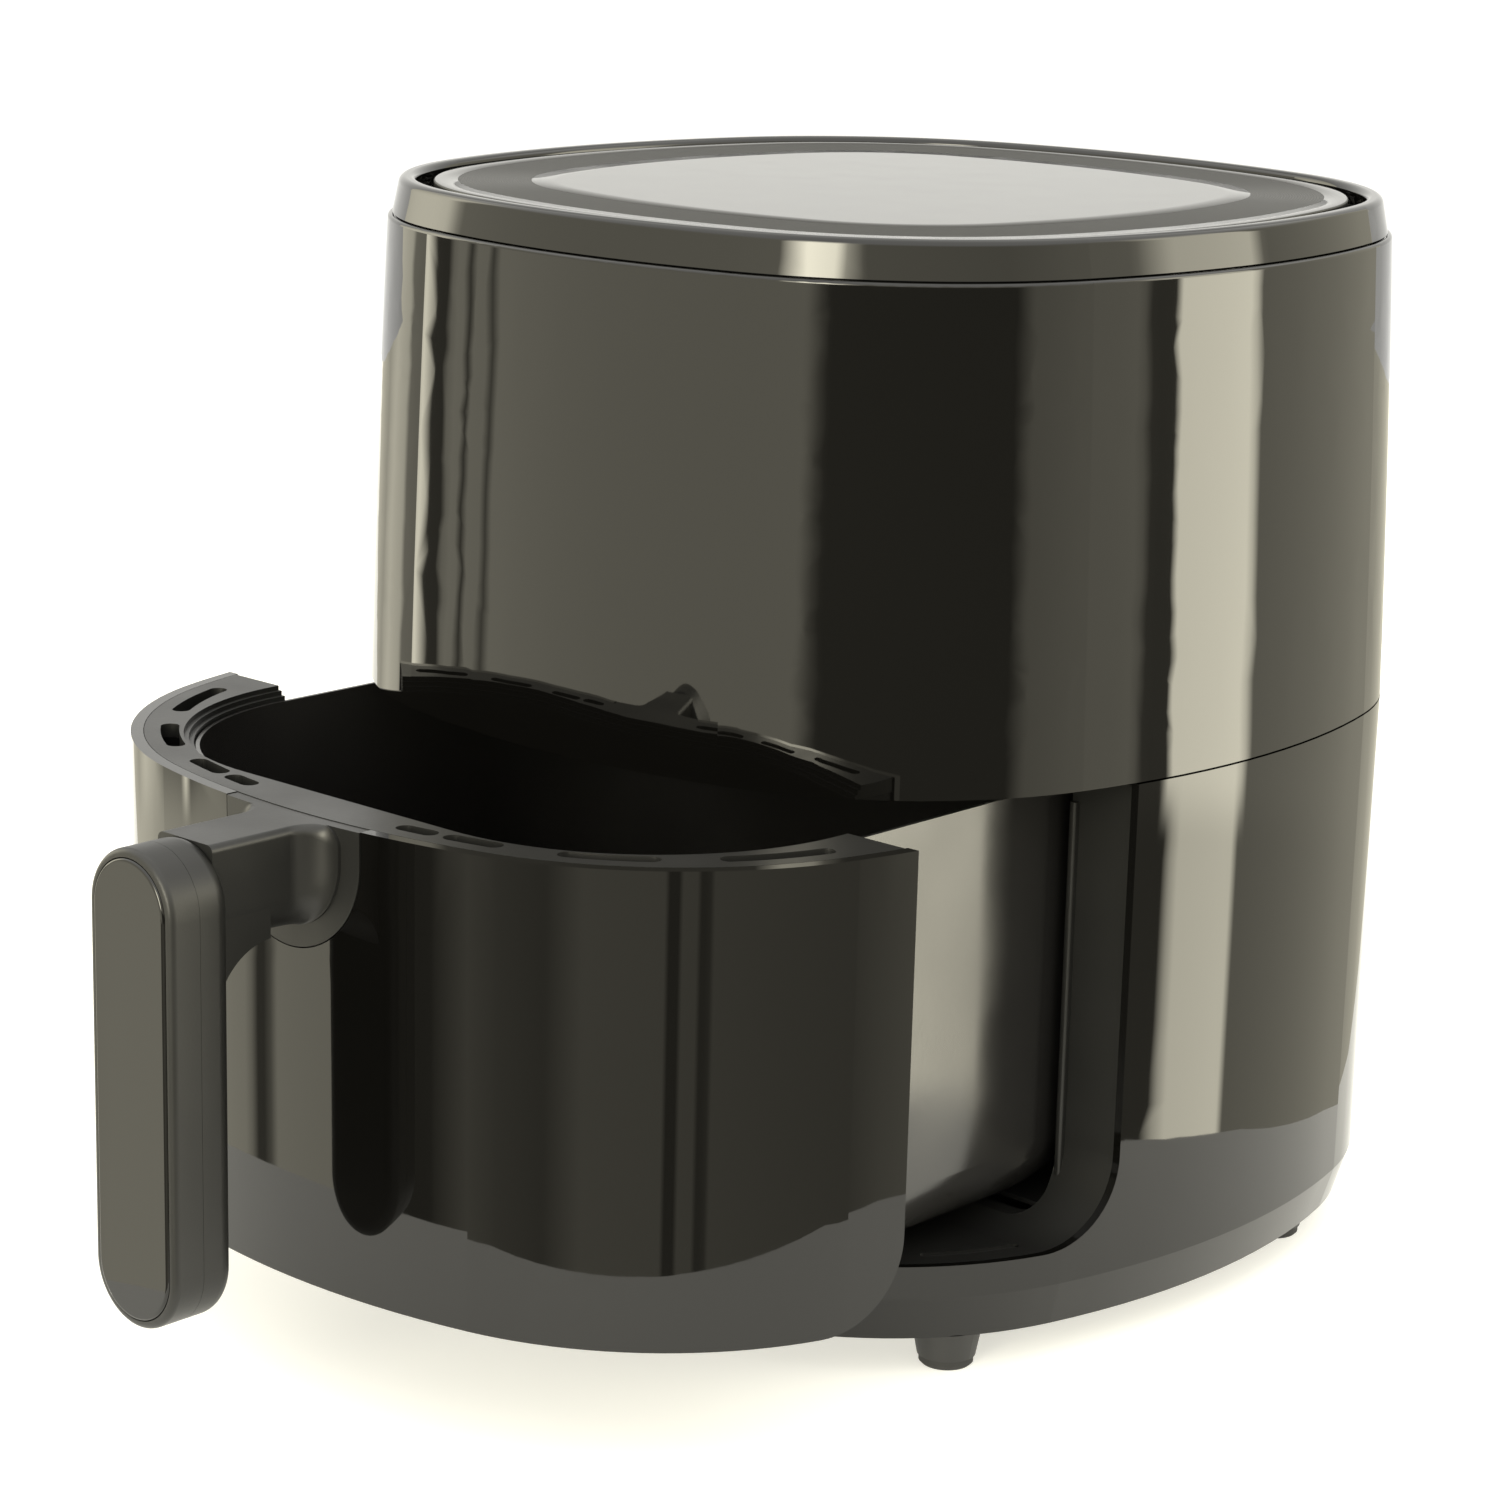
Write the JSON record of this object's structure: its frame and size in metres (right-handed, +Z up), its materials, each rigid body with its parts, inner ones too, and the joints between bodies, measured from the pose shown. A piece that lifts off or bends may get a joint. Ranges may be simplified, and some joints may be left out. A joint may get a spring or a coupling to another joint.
{
  "type": "air fryer",
  "caption": "Rounded countertop air fryer with a pull-out drawer, its pan and crisper tray, an upright stadium-shaped handle and a flat touch panel on top.",
  "frame": {"origin": "bottom centre of the whole box with the drawer pulled out, on the surface that the feet stand on", "axes": "+Z up, the drawer and handle face -Y, +X is to the right as seen from the front"},
  "size_m": [0.2996, 0.4594, 0.3346],
  "materials": {
    "gloss_black": "high gloss moulded ABS",
    "touch_panel": "gloss panel with a fine grooved band",
    "satin_black": "satin fine-textured plastic",
    "black_plastic": "matte moulded plastic",
    "white_plastic": "matte moulded plastic",
    "display_white": "matte light guide",
    "rubber_black": "matte rubber",
    "silicone": "satin silicone",
    "non_stick": "satin non-stick coating",
    "zinc_steel": "zinc-plated sheet",
    "heater_sheath": "heat-tinted steel sheath",
    "chrome_wire": "bright wire",
    "motor_steel": "satin steel can",
    "felt": "ceramic fibre felt",
    "circuit_board": "green laminate with parts"
  },
  "bodies": {
    "body": {"upper_shell": "gloss_black", "rear_vent": "satin_black", "top_ring": "gloss_black", "top_panel": "touch_panel", "panel_carrier": "black_plastic", "intake_grille": "black_plastic", "lower_shell": "gloss_black", "aperture_frame": "satin_black", "deck_plate": "black_plastic", "base_plate": "black_plastic", "feet": "black_plastic", "foot_pads": "rubber_black", "base_screws": "zinc_steel", "cord_gland": "black_plastic", "cavity_liner": "black_plastic", "guide_rails": "black_plastic", "chamber_liner": "zinc_steel", "temperature_probe": "zinc_steel", "exhaust_duct": "zinc_steel", "insulation": "felt", "heat_shield": "zinc_steel", "heater_coil": "heater_sheath", "heater_clips": "zinc_steel", "heater_guard": "chrome_wire", "motor_bracket": "zinc_steel", "motor_can": "motor_steel", "thermal_cutout": "white_plastic", "power_board": "circuit_board", "touch_board": "circuit_board", "display_module": "display_white", "terminal_block": "white_plastic", "drawer_switch": "black_plastic"},
    "fan_rotor": {"hot_fan": "zinc_steel", "cooling_fan": "zinc_steel", "motor_shaft": "chrome_wire", "shaft_nuts": "zinc_steel"},
    "switch_lever": {"switch_lever": "zinc_steel"},
    "drawer": {"drawer_front": "gloss_black", "drawer_rim": "satin_black", "front_carrier": "black_plastic", "pan": "non_stick", "handle_bracket": "satin_black", "handle_cap": "satin_black", "handle_inlay": "gloss_black", "handle_screws": "zinc_steel"},
    "crisper_tray": {"crisper_tray": "non_stick", "tray_bumpers": "silicone"}
  },
  "joints": [
    {"name": "drawer_slide", "type": "slide", "parent": "body", "child": "drawer", "axis": [0, -1, 0], "range_m": [-0.097, 0.15]},
    {"name": "tray_lift", "type": "slide", "parent": "drawer", "child": "crisper_tray", "axis": [0, 0, 1], "range_m": [0, 0.085]},
    {"name": "fan_spin", "type": "hinge", "parent": "body", "child": "fan_rotor", "pos_m": [0, 0.07685, 0.24], "axis": [0, 0, 1], "continuous": true},
    {"name": "switch_lever_tilt", "type": "hinge", "parent": "body", "child": "switch_lever", "pos_m": [0.06, 0.19685, 0.15], "axis": [1, 0, 0], "range_deg": [0, 8], "stiffness_Nm_per_rad": 0.02}
  ]
}
